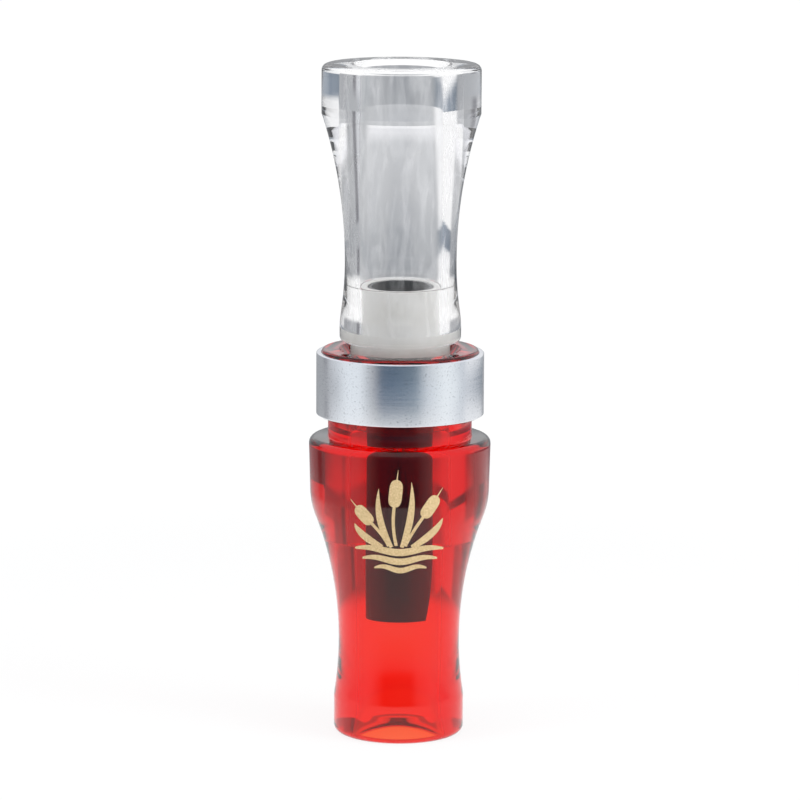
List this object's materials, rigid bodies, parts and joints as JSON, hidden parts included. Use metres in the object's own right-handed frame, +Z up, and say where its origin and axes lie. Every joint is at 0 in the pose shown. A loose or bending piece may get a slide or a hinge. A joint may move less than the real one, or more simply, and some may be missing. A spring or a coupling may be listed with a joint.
{
  "type": "duck call",
  "caption": "Translucent barrel with a metal band, a clear flared exhaust insert that plugs in and turns, and a curved tone board with two reeds under a wedge.",
  "frame": {"origin": "on the axis at the foot of the mouthpiece end, where the call stands", "axes": "+Z up along the axis to the exhaust end, -Y towards the printed front, +X to the right"},
  "size_m": [0.0348, 0.0348, 0.129],
  "materials": {
    "red_acrylic": "polished translucent red acrylic",
    "band_aluminium": "turned and brushed round",
    "clear_acrylic": "polished clear acrylic",
    "white_sleeve": "satin white plastic",
    "black_board": "moulded satin black",
    "reed_film": "clear polyester film",
    "cork": "fine-grained cork",
    "ring_rubber": "matt black rubber"
  },
  "bodies": {
    "barrel": {"barrel": "red_acrylic", "band": "band_aluminium"},
    "o_rings": {"lower_o_ring": "ring_rubber", "upper_o_ring": "ring_rubber"},
    "insert": {"exhaust_bell": "clear_acrylic", "gut_sleeve": "white_sleeve", "tone_board": "black_board", "reed_wedge": "cork"},
    "lower_reed": {"lower_reed": "reed_film"},
    "upper_reed": {"upper_reed": "reed_film"}
  },
  "joints": [
    {"name": "insert_pull", "type": "slide", "parent": "barrel", "child": "o_rings", "axis": [0, 0, 1], "range_m": [-0.0013, 0.06]},
    {"name": "insert_turn", "type": "hinge", "parent": "o_rings", "child": "insert", "pos_m": [0, 0, 0.0674], "axis": [0, 0, 1], "continuous": true},
    {"name": "lower_reed_flex", "type": "hinge", "parent": "insert", "child": "lower_reed", "pos_m": [0.00018, 0.00057, 0.046], "axis": [0.9511, -0.309, 0], "range_deg": [-4, 2], "stiffness_Nm_per_rad": 0.004, "deforming": ["lower_reed"]},
    {"name": "upper_reed_flex", "type": "hinge", "parent": "insert", "child": "upper_reed", "pos_m": [0.00018, 0.00057, 0.046], "axis": [0.9511, -0.309, 0], "range_deg": [-4, 2], "stiffness_Nm_per_rad": 0.004, "deforming": ["upper_reed"]}
  ],
  "couplings": [
    {"joint": "upper_reed_flex", "follows": "lower_reed_flex", "ratio": 1}
  ]
}
